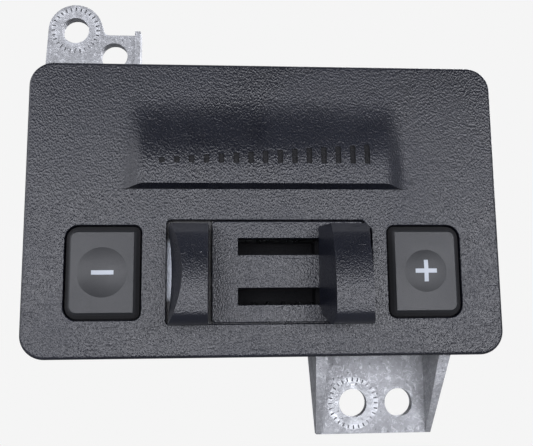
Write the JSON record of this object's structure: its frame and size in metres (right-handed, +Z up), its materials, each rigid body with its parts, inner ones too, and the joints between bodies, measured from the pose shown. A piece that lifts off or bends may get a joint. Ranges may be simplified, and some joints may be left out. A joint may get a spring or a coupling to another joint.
{
  "type": "brake controller unit",
  "caption": "Dash-mounted trailer brake controller: squeeze lever beside a thumb rest, plus and minus gain buttons, grained faceplate, die-cast housing with bolt ears.",
  "frame": {"origin": "centre of the faceplate on the plane of its rear rim, which seats on the dash", "axes": "+X right, +Z up as installed, the faceplate looks along -Y and the electronics are behind it along +Y"},
  "size_m": [0.129, 0.0792, 0.1312],
  "materials": {
    "grained_black": "fine leather grain, semi-matte",
    "grip_black": "fine grain on the faces, smooth sides",
    "button_black": "smooth, satin",
    "inner_black": "plain moulded",
    "legend_white": "translucent white",
    "die_cast_metal": "as cast, mottled",
    "zinc_plate": "zinc plated",
    "screw_steel": "zinc plated",
    "rod_steel": "ground",
    "spring_steel": "black phosphate",
    "bumper_rubber": "matt",
    "board_green": "solder mask",
    "chip_black": "moulded epoxy",
    "magnet_grey": "sintered",
    "clear_acrylic": "clear",
    "led_white": "moulded",
    "capacitor_sleeve": "shrink sleeve",
    "shunt_copper": "bare",
    "pin_tin": "tinned",
    "connector_black": "glass-filled",
    "pad_grey": "silicone pad",
    "gasket_rubber": "silicone"
  },
  "bodies": {
    "root": {"front_bezel": "grained_black", "slider_panel": "grained_black", "thumb_rest": "grip_black", "rest_plate": "zinc_plate", "rest_screws": "screw_steel", "upper_guide_rod": "rod_steel", "lower_guide_rod": "rod_steel", "lever_return_spring": "spring_steel", "stop_bumpers": "bumper_rubber", "slider_frame": "inner_black", "minus_switch": "chip_black", "plus_switch": "chip_black", "inner_chassis": "inner_black", "chassis_screws": "screw_steel", "light_guides": "clear_acrylic", "legend_leds": "led_white", "control_board": "board_green", "control_board_screws": "screw_steel", "position_sensor": "chip_black", "microcontroller": "chip_black", "board_link": "connector_black", "power_board": "board_green", "power_board_screws": "screw_steel", "power_transistors": "chip_black", "thermal_pad": "pad_grey", "capacitors": "capacitor_sleeve", "current_shunt": "shunt_copper", "connector_shell": "connector_black", "connector_pins": "pin_tin", "connector_gasket": "gasket_rubber", "rear_housing": "die_cast_metal", "case_screws": "screw_steel"},
    "lever": {"slide_lever": "grip_black", "lever_carriage": "inner_black", "carriage_screws": "screw_steel", "position_magnet": "magnet_grey"},
    "minus_key": {"minus_button": "button_black", "minus_legend": "legend_white", "minus_switch_plunger": "inner_black"},
    "plus_key": {"plus_button": "button_black", "plus_legend": "legend_white", "plus_switch_plunger": "inner_black"}
  },
  "joints": [
    {"name": "lever_slide", "type": "slide", "parent": "root", "child": "lever", "axis": [-1, 0, 0], "range_m": [0, 0.022], "stiffness_N_per_m": 300, "springref_m": -0.0067, "deforming": ["lever_return_spring"]},
    {"name": "minus_press", "type": "slide", "parent": "root", "child": "minus_key", "axis": [0, 1, 0], "range_m": [0, 0.001], "stiffness_N_per_m": 1500, "springref_m": -0.0004},
    {"name": "plus_press", "type": "slide", "parent": "root", "child": "plus_key", "axis": [0, 1, 0], "range_m": [0, 0.001], "stiffness_N_per_m": 1500, "springref_m": -0.0004}
  ]
}
